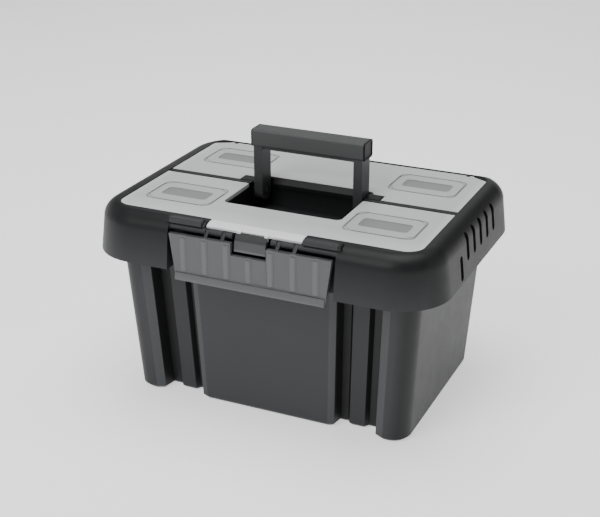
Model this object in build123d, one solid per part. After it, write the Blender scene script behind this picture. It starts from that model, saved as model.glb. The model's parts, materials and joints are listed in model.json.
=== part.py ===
from build123d import *
import os

# Portable storage box: a deep bin, a domed lid with two covered organizers, a folding handle and a latch.
# Millimetres. X runs along the front, the front is at -Y, Z is up and zero is the resting face.
# Driving sizes come first. Places are named setbacks, rises and drops from the sizes that they follow.

# Overall
lid_length = 430.0
lid_depth = 320.0
bin_height = 200.0
lid_rise = 47.0

# Gaps and cuts
overrun = 1.0
fit_gap = 0.4
running_gap = 0.05
fixed_gap = 0.02

# Lid
lid_corner = 58.0
shoulder_round = 20.0
skirt_drop = 12.0
skirt_flare = 4.5
rear_slope_drop = 16.0
lid_wall = 2.8
lid_seat_gap = 0.3
side_border = 25.0
front_border = 26.0
window_corner = 20.0
window_wall = 2.6
ledge_reach = 4.0
ledge_rise = 2.2
ledge_thickness = 2.5
spine_width = 7.6
spine_drop = 0.2
bearer_width = 3.0
bearer_offset = 60.0
outer_bearer_setback = 60.0

# Flutes pressed into the lid's sides
flute_pitch = 25.0
flute_pairs = 3
flute_width = 9.0
flute_depth = 3.0
flute_rise = 19.0
flute_top_drop = 7.0
front_flute_rise = 3.0
front_flute_height = 30.0

# Front of the lid: latch pocket, brackets and the bed under the cover's lip, set back from the lid's front
pocket_half = 104.0
pocket_setback = 14.5
pocket_wall = 2.6
pocket_ceiling_drop = 6.4
bracket_inner = 63.0
bracket_outer = 108.0
bracket_setback = 6.0
bracket_thickness = 11.0
bracket_drop = 4.0
bracket_rise = 2.0
bracket_round = 2.0
bracket_groove = 3.5
hinge_bar_radius = 3.6
hinge_bar_gap = 2.0
lip_side_gap = 1.0
lip_bracket_gap = 3.5
lip_drop = 2.5
lip_setback = 12.5
lip_slope = 6.5

# Bin
rim_setback = 24.2
rim_front_gap = 1.2
rim_reach = 8.0
rim_thickness = 3.0
foot_length_taper = 12.8
foot_depth_taper = 10.7
bin_wall = 2.6
bin_floor = 3.0
bin_corner = 22.0
foot_round = 4.0

# Fluted front of the bin: how far its folds lie from the middle, as shares of half its length, and how deep
fold_shares = (0.4494, 0.4916, 0.5056, 0.5562, 0.5787, 0.6854, 0.7079, 0.7697, 0.7865, 0.8427)
panel_depth = 3.0
panel_bevel_depth = 6.0
groove_depth = 22.0
rib_depth = 16.0
pillar_bevel_depth = 5.0

# Side grip rails and latch keeper of the bin
rail_setback = 18.0
rail_end_setback = 65.0
rail_drop = 15.0
rail_height = 14.0
keeper_side_gap = 8.5
keeper_gap = 1.0
keeper_drop = 16.0
keeper_height = 6.0

# Rear hinges
hinge_setout = 7.0
hinge_drop = 16.0
hinge_end_setback = 95.0
barrel_radius = 5.5
hinge_pin_radius = 2.0
outer_knuckle = 10.0
inner_knuckle = 18.0
arm_top_rise = 3.0
gusset_drop = 34.0
lid_web_rise = 22.0
lid_web_reach = 2.0

# Handle
pivot_y = 11.0
pivot_drop = 13.0
leg_inner = 60.0
leg_thickness = 11.3
leg_half_depth = 12.0
handle_pin_radius = 3.0
grip_rise = 45.8
grip_height = 22.0
grip_half_depth = 13.4
grip_round = 3.5
grip_overhang = 3.2
cap_thickness = 2.0
cap_rim = 2.2
cap_recess = 0.9
cap_peg_radius = 4.0
cap_peg_length = 6.0
core_margin = 3.4
crossbar_drop = 2.8
leg_top_rise = 9.0

# Handle well
well_side_room = 4.0
well_front_gap = 7.1
well_rear_room = 14.0
well_sink = 37.0
well_wall = 2.4
well_corner = 7.0
well_lap_gap = 0.2
well_slope_gap = 2.5
well_slope_reach = 2.3
well_slope_drop = 7.1
well_slope_edge = 5.0

# Handle pivot housings and their caps
housing_gap = 0.6
housing_length = 21.0
housing_front_reach = 9.5
housing_rear_reach = 8.5
housing_drop = 7.0
housing_height = 23.0
pivot_cap_drop = 0.7
pivot_cap_bevel = 1.0

# Organizer covers
cover_sink = 1.0
cover_thickness = 2.6
cover_gap = 0.6
cover_rim = 2.0
cover_rim_depth = 2.0
seam_half = 4.3
bead_radius = 2.7
stub_radius = 1.4
stub_length = 2.4
cover_ear_setback = 29.2
cover_ear_width = 3.6
bead_end_setback = 20.0
corner_gap = 1.7
corner_plate_depth = 11.0
notch_gap = 0.7

# Raised pattern of the covers: a groove round a sunken pad, on each half
ring_well_gap = 8.7
ring_end_setback = 19.0
front_ring_start = 38.0
front_ring_setback = 34.0
rear_ring_start = 45.0
rear_ring_setback = 27.0
ring_line = 2.6
ring_cut = 0.9
ring_corner = 12.0
pad_length = 60.0
pad_depth = 25.0
pad_cut = 0.7
pad_corner = 5.0

# Trays and dividers
tray_gap = 0.5
tray_wall = 1.6
tray_floor = 1.6
tray_drop = 3.2
divider_thickness = 1.6
divider_drop = 1.6
slot_rib = 1.6
slot_rib_reach = 2.4
slot_gap = 0.15
front_divider_gap = 25.7
rear_divider_offset = 62.0
rear_divider_pitch = 62.0

# Front catch on the lip, set back from the lid's front
catch_half = 19.5
catch_setback = 10.1
catch_drop = 7.0
catch_barrel_radius = 2.8
catch_pin_radius = 1.0
catch_knuckle_gap = 0.6
catch_knuckle = 4.0
catch_wing = 5.2
catch_hood = 1.2
catch_hood_reach = 3.0
catch_hood_rise = 3.2
catch_face_setback = 1.5
catch_height = 17.0
catch_wall = 2.6
catch_slope = 6.0
catch_lean = 1.0

# Front latch
latch_setback = 9.0
latch_drop = 9.0
latch_panel_drop = 13.5
latch_side_gap = 3.0
latch_taper = 7.5
latch_face_reach = 2.5
latch_plate = 3.0
latch_depth = 5.5
latch_rim = 2.2
latch_rib_rise = 1.5
latch_rib_width = 9.0
latch_rib_bevel = 2.4
latch_rib_pitch = 27.5
latch_rib_pairs = 3
latch_rib_bottom_rise = 12.0
latch_rib_top_drop = 3.0
latch_band_height = 9.0
latch_band_rise = 1.5
latch_notch_gap = 2.5
latch_notch_depth = 14.5
latch_barrel_radius = 3.2
latch_pin_radius = 1.5
latch_arm_offset = 34.0
latch_arm_pitch = 21.0
latch_arm_width = 4.5
latch_arm_gap = 0.5
latch_arm_drop = 12.0
latch_hook_reach = 3.5
latch_hook_height = 3.0
latch_pin_bury = 13.0

# Heights that follow
lid_top = bin_height + lid_rise
skirt_bottom = bin_height - skirt_drop
lid_rest = bin_height + lid_seat_gap
ledge_top = lid_rest + ledge_rise + ledge_thickness
cover_top = lid_top - cover_sink
cover_bottom = cover_top - cover_thickness
bead_z = cover_top - bead_radius
spine_top = cover_top - spine_drop
shoulder_bottom = lid_top - shoulder_round
well_lap_top = cover_bottom - cover_rim_depth - cover_gap
tray_top = cover_bottom - tray_drop
divider_top = tray_top - divider_drop
well_floor = lid_top - well_sink
flute_bottom = skirt_bottom + flute_rise
flute_top = lid_top - flute_top_drop
front_flute_bottom = skirt_bottom + front_flute_rise
front_flute_top = front_flute_bottom + front_flute_height
pivot_z = lid_top - pivot_drop
grip_bottom = lid_top + grip_rise
grip_middle = grip_bottom + grip_height / 2
housing_top = lid_top - housing_drop
housing_bottom = housing_top - housing_height
pivot_cap_top = lid_top - pivot_cap_drop
pocket_ceiling = lid_top - pocket_ceiling_drop
bracket_bottom = lid_top - bracket_drop
bracket_top = lid_top + bracket_rise
catch_z = lid_top - catch_drop
catch_bottom = catch_z - catch_height
rail_top = bin_height - rail_drop
keeper_top = bin_height - keeper_drop
hinge_z = bin_height - hinge_drop
latch_z = lid_top - latch_drop
latch_top = lid_top - latch_panel_drop
latch_bottom = keeper_top - keeper_height
latch_rib_bottom = latch_bottom + latch_rib_bottom_rise
latch_rib_top = latch_top - latch_rib_top_drop
latch_band_top = latch_bottom + latch_band_height
latch_notch_bottom = latch_top - latch_notch_depth

# Places along the box that follow
window_length = lid_length - 2 * side_border
outer_bearer_offset = window_length / 2 - outer_bearer_setback
rim_length = lid_length - 2 * rim_setback
foot_length = rim_length - 2 * foot_length_taper
rail_reach = lid_length / 2 - rail_setback
hinge_spacing = lid_length - 2 * hinge_end_setback
leg_outer = leg_inner + leg_thickness
grip_half_length = leg_outer + grip_overhang
well_half = leg_outer + well_side_room
housing_inner = leg_outer + housing_gap
housing_outer = housing_inner + housing_length
cover_ear_offset = window_length / 2 - cover_ear_setback
bead_end = window_length / 2 - bead_end_setback
ring_inner = well_half + ring_well_gap
ring_outer = window_length / 2 - ring_end_setback
front_divider_offset = well_half + front_divider_gap
latch_top_half = pocket_half - latch_side_gap
latch_bottom_half = latch_top_half - latch_taper
latch_notch_half = catch_half + latch_notch_gap
hinge_bar_inner = latch_notch_half + hinge_bar_gap
catch_barrel_half = catch_half - catch_wing
lip_half = bracket_inner - lip_bracket_gap
keeper_half = latch_bottom_half - keeper_side_gap

# Places across the box that follow
lid_front = lid_depth / 2
window_depth = lid_depth - 2 * front_border
pocket_front = lid_front - pocket_setback
rim_depth = 2 * (pocket_front - pocket_wall - rim_front_gap - rim_reach)
foot_depth = rim_depth - 2 * foot_depth_taper
rail_half = lid_front - rail_end_setback
skirt_front = lid_front + skirt_flare
hinge_y = skirt_front + hinge_setout
bracket_front = lid_front - bracket_setback
bracket_back = bracket_front - bracket_thickness
lip_front = lid_front - lip_setback
lip_flat_end = lip_front - lip_slope
catch_y = catch_setback - lid_front
catch_face = lid_front - catch_face_setback
latch_y = latch_setback - lid_front
latch_face = lid_front + latch_face_reach
latch_back = latch_face - latch_depth
latch_hook_front = latch_back - latch_hook_reach
keeper_reach = latch_hook_front - keeper_gap
front_hinge_y = -seam_half - bead_radius
rear_hinge_y = window_depth / 2 - cover_gap - bead_radius
handle_reach = grip_bottom + grip_height - pivot_z
well_front = pivot_y - handle_reach - well_front_gap
well_rear = pivot_y + well_rear_room
housing_front = pivot_y - housing_front_reach
housing_rear = pivot_y + housing_rear_reach


def block(x0, x1, y0, y1, z0, z1):
    """A box between two corners."""
    middle = ((x0 + x1) / 2, (y0 + y1) / 2, (z0 + z1) / 2)
    return Pos(*middle) * Box(x1 - x0, y1 - y0, z1 - z0)


def both_sides(solid):
    """A piece and its mirror image across the middle of the box."""
    return solid + mirror(solid, about=Plane.YZ)


def flat(points):
    """A flat face with straight sides."""
    return make_face(Polyline(*points, close=True))


def along_x(points, x0, x1):
    """A side profile of (y, z) points, carried from x0 to x1."""
    return extrude(Plane.YZ.offset(x0) * flat(points), x1 - x0)


def rod(radius, x0, x1, y, z):
    """A round bar along X."""
    return extrude(Plane.YZ.offset(x0) * (Pos(y, z) * Circle(radius)), x1 - x0)


def plate(outline, z0, z1):
    """A plan outline carried from z0 up to z1."""
    return extrude(Pos(0, 0, z0) * outline, z1 - z0)


def save(solid, node):
    """Write one node."""
    export_step(solid, "parts/" + node + ".step")


def pieces(*solids):
    """Several separate solids in one node."""
    return Compound(children=[one for solid in solids for one in solid.solids()])


# Bin

def bin_length_at(z):
    return foot_length + (rim_length - foot_length) * z / bin_height


def bin_depth_at(z):
    return foot_depth + (rim_depth - foot_depth) * z / bin_height


def front_folds():
    """How far behind the front each fold of the fluted front lies, from the middle outwards."""
    panel = [panel_depth, panel_bevel_depth]
    groove = [groove_depth, groove_depth]
    rib = [rib_depth, rib_depth]
    pillar = [pillar_bevel_depth, 0]
    return panel + groove + rib + groove + pillar


def bin_outline(z):
    """Plan outline of the bin's outside at one height."""
    half_length = bin_length_at(z) / 2
    half_depth = bin_depth_at(z) / 2
    folds = zip(fold_shares, front_folds())
    right = [(share * half_length, behind - half_depth) for share, behind in folds]
    left = [(-x, y) for x, y in reversed(right)]
    corners = [(half_length, -half_depth), (half_length, half_depth)]
    far_corners = [(-half_length, half_depth), (-half_length, -half_depth)]
    outline = flat(right + corners + far_corners + left)
    ends = outline.vertices().filter_by(lambda v: abs(v.X) > half_length - bin_corner / 2)
    return fillet(ends, bin_corner)


def bin_hollow():
    """The space inside the bin's walls, which runs on past the rim."""
    top = bin_height + overrun
    low = offset(bin_outline(bin_floor), -bin_wall, kind=Kind.INTERSECTION)
    high = offset(bin_outline(top), -bin_wall, kind=Kind.INTERSECTION)
    return loft([Pos(0, 0, bin_floor) * low.face(), Pos(0, 0, top) * high.face()], ruled=True)


def bin_shell():
    """Tapered bin with a fluted front and a flat rim that stands out all round."""
    foot = offset(bin_outline(0), -foot_round, kind=Kind.INTERSECTION).face()
    lower = Pos(0, 0, foot_round) * bin_outline(foot_round).face()
    rim = Pos(0, 0, bin_height) * bin_outline(bin_height).face()
    body = loft([foot, lower, rim], ruled=True)
    flange = RectangleRounded(rim_length + 2 * rim_reach, rim_depth + 2 * rim_reach, bin_corner + rim_reach)
    body += plate(flange, bin_height - rim_thickness, bin_height)
    return body - bin_hollow()


def wall_middle_x(z):
    return bin_length_at(z) / 2 - bin_wall / 2


def wall_middle_y(z):
    return bin_depth_at(z) / 2 - bin_wall / 2


def grip_rail():
    """Rail on the right side, with its edge turned down, to lift the bin by."""
    plate_root = wall_middle_x(rail_top)
    top_plate = block(plate_root, rail_reach, -rail_half, rail_half, rail_top - bin_wall, rail_top)
    edge = block(rail_reach - bin_wall, rail_reach, -rail_half, rail_half, rail_top - rail_height, rail_top)
    ends = Part()
    for y in (-rail_half, rail_half - bin_wall):
        lower = rail_top - rail_height
        ends += block(wall_middle_x(lower), rail_reach, y, y + bin_wall, lower, rail_top)
    return top_plate + edge + ends


def keeper():
    """Ledge across the front that the latch closes over."""
    root = -wall_middle_y(keeper_top) + panel_depth
    top_plate = block(-keeper_half, keeper_half, -keeper_reach, root, keeper_top - bin_wall, keeper_top)
    edge_back = -keeper_reach + bin_wall
    edge = block(-keeper_half, keeper_half, -keeper_reach, edge_back, keeper_top - keeper_height, keeper_top)
    return top_plate + edge


def knuckle_starts():
    """Left ends of the two outer knuckles and of the inner one, from the middle of a hinge."""
    inner_start = -inner_knuckle / 2
    return (inner_start - fit_gap - outer_knuckle, inner_knuckle / 2 + fit_gap), inner_start


def hinge_arm(x0):
    """One fixed knuckle with its arm and gusset."""
    top = hinge_z + arm_top_rise
    low = hinge_z - gusset_drop
    profile = [
        (wall_middle_y(top), top),
        (hinge_y, top),
        (hinge_y, hinge_z - barrel_radius),
        (wall_middle_y(low), low),
    ]
    arm = along_x(profile, x0, x0 + outer_knuckle)
    return arm + rod(barrel_radius, x0, x0 + outer_knuckle, hinge_y, hinge_z)


def bin_hinge_arms():
    outer_starts, _ = knuckle_starts()
    arms = Part()
    for start in outer_starts:
        arms += hinge_arm(hinge_spacing / 2 + start)
    return both_sides(arms)


def hinge_bore(radius):
    half = inner_knuckle / 2 + fit_gap + outer_knuckle + overrun
    bore = rod(radius, hinge_spacing / 2 - half, hinge_spacing / 2 + half, hinge_y, hinge_z)
    return both_sides(bore)


def make_base_bin():
    body = bin_shell() + both_sides(grip_rail()) + keeper() + bin_hinge_arms()
    return body - hinge_bore(hinge_pin_radius + fixed_gap)


def make_lid_hinge_pins():
    half = inner_knuckle / 2 + fit_gap + outer_knuckle
    pin = rod(hinge_pin_radius, hinge_spacing / 2 - half, hinge_spacing / 2 + half, hinge_y, hinge_z)
    return pieces(pin, mirror(pin, about=Plane.YZ))


# Lid

def flare_at(z):
    """How far the skirt stands out at one height."""
    return skirt_flare * (shoulder_bottom - z) / (shoulder_bottom - skirt_bottom)


def lid_outline(inset, z):
    """Plan of the lid's skirt at one height, made smaller all round by inset."""
    grow = flare_at(z) - inset
    return RectangleRounded(lid_length + 2 * grow, lid_depth + 2 * grow, lid_corner + grow)


def rear_slope(inset):
    """Room above the lid's rear border, which falls away behind the rear cover."""
    y0 = window_depth / 2
    y1 = skirt_front + overrun
    z0 = lid_top - inset
    z1 = z0 - rear_slope_drop * (y1 - y0) / (lid_front - y0)
    reach = lid_length / 2 + skirt_flare + overrun
    top = lid_top + overrun
    return along_x([(y0, z0), (y1, z1), (y1, top), (y0, top)], -reach, reach)


def dome(inset, bottom):
    """The lid's domed outer form with its flared skirt, made smaller all round by inset."""
    shoulder = lid_outline(inset, shoulder_bottom)
    upper = plate(shoulder, shoulder_bottom - shoulder_round / 2, lid_top - inset)
    upper = fillet(upper.edges().group_by(Axis.Z)[-1], shoulder_round - inset)
    lower_face = Pos(0, 0, bottom) * lid_outline(inset, bottom).face()
    skirt = loft([lower_face, Pos(0, 0, shoulder_bottom) * shoulder.face()], ruled=True)
    return upper + skirt - rear_slope(inset)


def window_outline(inset):
    return RectangleRounded(window_length - 2 * inset, window_depth - 2 * inset, window_corner - inset)


def flute_cutters():
    """Upright slots in both sides, as deep as the flutes, which follow the lid's shoulder."""
    slots = Part()
    for number in range(2 * flute_pairs):
        y = (number - flute_pairs + 0.5) * flute_pitch
        bottom = front_flute_bottom if number == 0 else flute_bottom
        top = front_flute_top if number == 0 else flute_top
        outline = Pos(y, (bottom + top) / 2) * SlotOverall(top - bottom, flute_width, rotation=90)
        slots += extrude(Plane.YZ.offset(window_length / 2) * outline, side_border + skirt_flare + overrun)
    return both_sides(slots) - dome(flute_depth, skirt_bottom - overrun)


def flute_backing():
    """Thicker wall behind the flutes."""
    half = (flute_pairs + 0.5) * flute_pitch
    outer = dome(lid_wall / 2, skirt_bottom)
    inner = dome(lid_wall + flute_depth, skirt_bottom - overrun)
    outside = lid_length / 2 + skirt_flare
    zone = block(window_length / 2 + window_wall, outside, -half, half, skirt_bottom, lid_top)
    return both_sides((outer - inner) & zone)


def lid_skin():
    """Domed skin with its skirt, cut open over the organizers."""
    skin = dome(0, skirt_bottom) - dome(lid_wall, skirt_bottom - overrun)
    skin += flute_backing()
    skin -= plate(window_outline(0), skirt_bottom, lid_top + overrun)
    return skin - flute_cutters()


def window_frame():
    """Wall down from the border to the bin's rim, with a ledge that the trays sit on."""
    wall = plate(window_outline(-window_wall) - window_outline(0), lid_rest, cover_top)
    ledge_outline = window_outline(-window_wall / 2) - window_outline(ledge_reach)
    ledge = plate(ledge_outline, ledge_top - ledge_thickness, ledge_top)
    return wall + ledge


def tray_bearers():
    """Spine between the organizers, and bars under the trays that carry the well."""
    half_length = window_length / 2 + window_wall / 2
    half_depth = window_depth / 2 + window_wall / 2
    bars = block(-half_length, half_length, -spine_width / 2, spine_width / 2, lid_rest, spine_top)
    for x in (bearer_offset, outer_bearer_offset):
        bar = block(x - bearer_width / 2, x + bearer_width / 2, -half_depth, half_depth, lid_rest, ledge_top)
        bars += both_sides(bar)
    return bars


def well_outline(inset):
    """Plan of the handle well, made smaller all round by inset."""
    length = 2 * (well_half - inset)
    depth = well_rear - well_front - 2 * inset
    return Pos(0, (well_front + well_rear) / 2) * RectangleRounded(length, depth, well_corner - inset)


def well_body():
    """Outside of the well, lower at the front, where the front cover laps over its wall."""
    reach = well_half + well_wall + overrun
    front = well_front - well_wall - overrun
    lap = block(-reach, reach, front, -spine_width / 2, well_lap_top, cover_top + overrun)
    return plate(well_outline(-well_wall), lid_rest, cover_top) - lap


def well_space():
    return plate(well_outline(0), well_floor, cover_top + overrun)


def slope_well_rear(body):
    """Slope from the rear cover's edge down into the well, between the handle's legs."""
    half = leg_inner - well_slope_gap
    front = well_rear - well_slope_reach
    back = well_rear + well_wall
    lower = cover_top - well_slope_drop
    body -= block(-half, half, front, back + overrun, lower, cover_top + overrun)
    under = lower - well_slope_edge
    return body + along_x([(back, cover_top), (front, lower), (front, under), (back, under)], -half, half)


def well_underside():
    """Room below the well's floor, open to the bin."""
    return plate(well_outline(0), lid_rest - overrun, well_floor - well_wall)


def pivot_housing():
    """Right-hand block that holds the handle's pin."""
    return block(housing_inner, housing_outer, housing_front, housing_rear, housing_bottom, housing_top)


def front_pocket(body):
    """Set the skirt back behind the latch, and cut the border down under the cover's lip."""
    outer = dome(0, skirt_bottom)
    front = -skirt_front - overrun
    body -= block(-pocket_half, pocket_half, front, -pocket_front, skirt_bottom - overrun, pocket_ceiling)
    groove_back = bracket_groove - bracket_front
    body -= block(-pocket_half, pocket_half, front, groove_back, pocket_ceiling - overrun, bracket_bottom)
    lip_zone = lip_half + lip_side_gap
    body -= block(-lip_zone, lip_zone, front, -window_depth / 2 + overrun, pocket_ceiling, lid_top + overrun)
    half = pocket_half + pocket_wall
    back = -pocket_front + pocket_wall
    liner = block(-half, half, -pocket_front, back, skirt_bottom, pocket_ceiling)
    cheek = block(pocket_half, half, -skirt_front, back, skirt_bottom, lid_top)
    body += liner + (both_sides(cheek) & outer)
    bed_back = -window_depth / 2
    body += block(-half, half, -pocket_front, bed_back, pocket_ceiling - pocket_wall, pocket_ceiling)
    return body


def latch_bracket():
    """Right-hand raised block beside the lip, above the latch's hinge bar."""
    body = block(bracket_inner, bracket_outer, -bracket_front, -bracket_back, bracket_bottom, bracket_top)
    upper = body.edges().filter_by(Axis.X).group_by(Axis.Z)[-1]
    ends = body.edges().filter_by(Axis.Y).group_by(Axis.Z)[-1]
    return fillet(upper + ends, bracket_round)


def latch_arm_places():
    """Middles of the latch's two right-hand arms along its pin."""
    return [latch_arm_offset, latch_arm_offset + latch_arm_pitch]


def latch_arm_room(x):
    """Room in the hinge bar for the latch's arm at x."""
    half = latch_arm_width / 2 + latch_arm_gap
    reach = hinge_bar_radius + overrun
    back = latch_y + latch_barrel_radius + fit_gap
    return block(x - half, x + half, latch_y - reach, back, latch_z - reach, latch_z + reach)


def hinge_bar():
    """Right-hand bar across the top of the pocket that holds the latch's pin."""
    end = pocket_half + pocket_wall / 2
    back = -pocket_front + pocket_wall / 2
    bar = rod(hinge_bar_radius, hinge_bar_inner, end, latch_y, latch_z)
    bar += block(hinge_bar_inner, end, latch_y, back, latch_z - hinge_bar_radius / 2, pocket_ceiling)
    for x in latch_arm_places():
        bar -= latch_arm_room(x)
    return bar


def pivot_cap_room():
    """Room for the right-hand cap over the handle's pin."""
    outer = housing_outer + fixed_gap
    rear = housing_rear + fixed_gap
    return block(housing_inner - overrun, outer, housing_front, rear, housing_top, lid_top)


def rear_corners(gap):
    """Plan of the window's two rear corners, made larger by gap."""
    x0 = bead_end + corner_gap - gap
    x1 = window_length / 2 + window_wall / 2
    y0 = rear_hinge_y - gap
    y1 = window_depth / 2 + window_wall / 2
    right = flat([(x0, y1), (x0, y0), (x1, y0 - corner_plate_depth), (x1, y1)])
    return right + mirror(right, about=Plane.YZ)


def corner_plates():
    """Plates in the window's rear corners, which leave the rear cover room to swing up."""
    plan = rear_corners(0) & window_outline(-window_wall / 2)
    return plate(plan, cover_bottom, cover_top)


def cover_hinge_ears():
    """Small posts at the rear of the window that hold the rear cover's stubs."""
    start = cover_ear_offset
    end = cover_ear_offset + cover_ear_width
    back = window_depth / 2 + window_wall / 2
    ear = rod(bead_radius, start, end, rear_hinge_y, bead_z)
    ear += block(start, end, rear_hinge_y, back, bead_z - bead_radius, cover_top)
    return both_sides(ear)


def lid_knuckle():
    """Right-hand moving knuckle with its web up the rear of the skirt."""
    _, inner_start = knuckle_starts()
    x0 = hinge_spacing / 2 + inner_start
    web_top = skirt_bottom + lid_web_rise
    skirt_y = lid_front + flare_at(web_top)
    profile = [
        (skirt_front - lid_wall / 2, skirt_bottom),
        (skirt_y - lid_wall / 2, web_top),
        (skirt_y + lid_web_reach, web_top),
        (hinge_y + barrel_radius / 2, hinge_z + barrel_radius / 2),
        (hinge_y, hinge_z),
    ]
    web = along_x(profile, x0, x0 + inner_knuckle)
    return web + rod(barrel_radius, x0, x0 + inner_knuckle, hinge_y, hinge_z)


def lid_bores():
    """Holes in the lid for every pin and stub."""
    hinge = hinge_bore(hinge_pin_radius + running_gap)
    handle = rod(handle_pin_radius + fixed_gap, leg_inner, housing_outer + overrun, pivot_y, pivot_z)
    pin_end = bracket_inner + latch_pin_bury + fit_gap
    latch = rod(latch_pin_radius + fixed_gap, hinge_bar_inner - overrun, pin_end, latch_y, latch_z)
    stub_end = window_length / 2 + window_wall + overrun
    front_stub = rod(stub_radius + running_gap, window_length / 2 - overrun, stub_end, front_hinge_y, bead_z)
    ear_end = cover_ear_offset + stub_length + running_gap
    rear_stub = rod(stub_radius + running_gap, cover_ear_offset - overrun, ear_end, rear_hinge_y, bead_z)
    return hinge + both_sides(handle + latch + front_stub + rear_stub)


def make_lid_shell():
    body = lid_skin() + window_frame() + tray_bearers() + well_body()
    body = slope_well_rear(body - well_space() - well_underside())
    body += both_sides(pivot_housing()) + cover_hinge_ears() + corner_plates()
    body = body - both_sides(pivot_cap_room()) - rear_slope(0)
    body = front_pocket(body)
    body += both_sides(latch_bracket() + hinge_bar() + lid_knuckle())
    return body - lid_bores()


def make_pivot_caps():
    """Clip-on caps over the handle's pins, one each side."""
    inner = housing_inner
    body = block(inner, housing_outer, housing_front + fit_gap, housing_rear, housing_top, pivot_cap_top)
    top_edges = body.edges().group_by(Axis.Z)[-1]
    body = chamfer(top_edges, pivot_cap_bevel)
    return pieces(body, mirror(body, about=Plane.YZ))


# Organizer covers

def half_window(inset, y0, y1):
    """Part of the window's outline between two lines across it."""
    band = Pos(0, (y0 + y1) / 2) * Rectangle(lid_length, y1 - y0)
    return window_outline(inset) & band


def well_notch(gap):
    """Room round the handle well, seen in plan."""
    return well_outline(-well_wall - gap)


def housing_notch(gap):
    """Room round the pivot housings, seen in plan."""
    length = 2 * (housing_outer + gap)
    y1 = housing_rear + gap
    return Pos(0, y1 / 2) * Rectangle(length, y1)


def ring_outline(depth, inset):
    """Plan of the pattern's outer ring on the right half, centred on its own middle."""
    length = ring_outer - ring_inner - 2 * inset
    shape = Rectangle(length, depth - 2 * inset)
    return chamfer(shape.vertices(), ring_corner - inset)


def cover_pattern(y0, y1):
    """Grooved ring and sunken pad, cut into the top of each half of a cover."""
    middle = Pos((ring_inner + ring_outer) / 2, (y0 + y1) / 2)
    ring = ring_outline(y1 - y0, 0) - ring_outline(y1 - y0, ring_line)
    cut = plate(middle * ring, cover_top - ring_cut, cover_top + overrun)
    pad = RectangleRounded(pad_length, pad_depth, pad_corner)
    cut += plate(middle * pad, cover_top - pad_cut, cover_top + overrun)
    return both_sides(cut)


def cover_panel(plan):
    """Thin plate with its edge turned down."""
    rim_outline = plan - offset(plan, -cover_rim, kind=Kind.INTERSECTION)
    rim = plate(rim_outline, cover_bottom - cover_rim_depth, cover_bottom)
    return plate(plan, cover_bottom, cover_top) + rim


def lip_profile(front):
    """Side profile of the lip that runs over the border at the front."""
    back = window_depth / 2 - cover_gap - cover_rim
    edge_top = cover_top - lip_drop
    return [
        (-back, cover_top),
        (-lip_flat_end, cover_top),
        (-front, edge_top),
        (-front, edge_top - cover_thickness),
        (-lip_flat_end, cover_bottom),
        (-back, cover_bottom),
    ]


def catch_knuckle_range():
    inner = catch_barrel_half + catch_knuckle_gap
    return inner, inner + catch_knuckle


def front_lip():
    """Lip with the two knuckles that hold the catch's pin."""
    lip = along_x(lip_profile(lip_front), -lip_half, lip_half)
    inner, outer = catch_knuckle_range()
    lip -= rod(catch_barrel_radius + fit_gap, -inner, inner, catch_y, catch_z)
    knuckle = rod(catch_barrel_radius, inner, outer, catch_y, catch_z)
    knuckle += along_x(lip_profile(-catch_y), inner, outer)
    return lip + both_sides(knuckle)


def make_front_cover():
    plan = half_window(cover_gap, -window_depth / 2, front_hinge_y)
    plan -= well_outline(-well_lap_gap)
    body = cover_panel(plan)
    bead_start = well_half + well_wall + notch_gap
    bead = rod(bead_radius, bead_start, window_length / 2 - cover_gap, front_hinge_y, bead_z)
    stub_start = window_length / 2 - cover_gap - overrun
    bead += rod(stub_radius, stub_start, window_length / 2 + stub_length, front_hinge_y, bead_z)
    body += both_sides(bead)
    body += front_lip()
    body -= cover_pattern(front_ring_setback - window_depth / 2, -front_ring_start)
    _, outer = catch_knuckle_range()
    return body - rod(catch_pin_radius + fixed_gap, -outer - overrun, outer + overrun, catch_y, catch_z)


def make_rear_cover():
    plan = half_window(cover_gap, seam_half, rear_hinge_y)
    plan -= well_notch(notch_gap)
    plan -= housing_notch(notch_gap)
    ear_middle = cover_ear_offset + cover_ear_width / 2
    ear_room = Rectangle(cover_ear_width + 2 * cover_gap, 2 * (bead_radius + cover_gap))
    plan -= Pos(ear_middle, rear_hinge_y) * ear_room + Pos(-ear_middle, rear_hinge_y) * ear_room
    plan -= rear_corners(corner_gap)
    body = cover_panel(plan)
    bead_stop = cover_ear_offset - cover_gap
    body += rod(bead_radius, -bead_stop, bead_stop, rear_hinge_y, bead_z)
    outer_start = cover_ear_offset + cover_ear_width + cover_gap
    ends = rod(bead_radius, outer_start, bead_end, rear_hinge_y, bead_z)
    ends += rod(stub_radius, bead_stop - overrun, cover_ear_offset + stub_length, rear_hinge_y, bead_z)
    body += both_sides(ends)
    return body - cover_pattern(rear_ring_start, window_depth / 2 - rear_ring_setback)


def tab_points():
    """Side profile of the catch's tab, from its shoulder to its finger edge and back up."""
    shoulder = catch_z - catch_slope
    upper = -catch_face + catch_lean
    return [
        (upper, shoulder),
        (-catch_face, catch_bottom),
        (-catch_face + catch_wall, catch_bottom),
        (upper + catch_wall, shoulder - catch_wall / 2),
    ]


def catch_middle():
    """Barrel between the cover's knuckles, with the tab in front of it."""
    half = catch_barrel_half
    top = [(catch_y, catch_z + catch_barrel_radius), (catch_y - catch_barrel_radius, catch_z)]
    profile = top + tab_points() + [(catch_y, catch_z - catch_barrel_radius)]
    return along_x(profile, -half, half) + rod(catch_barrel_radius, -half, half, catch_y, catch_z)


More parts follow.
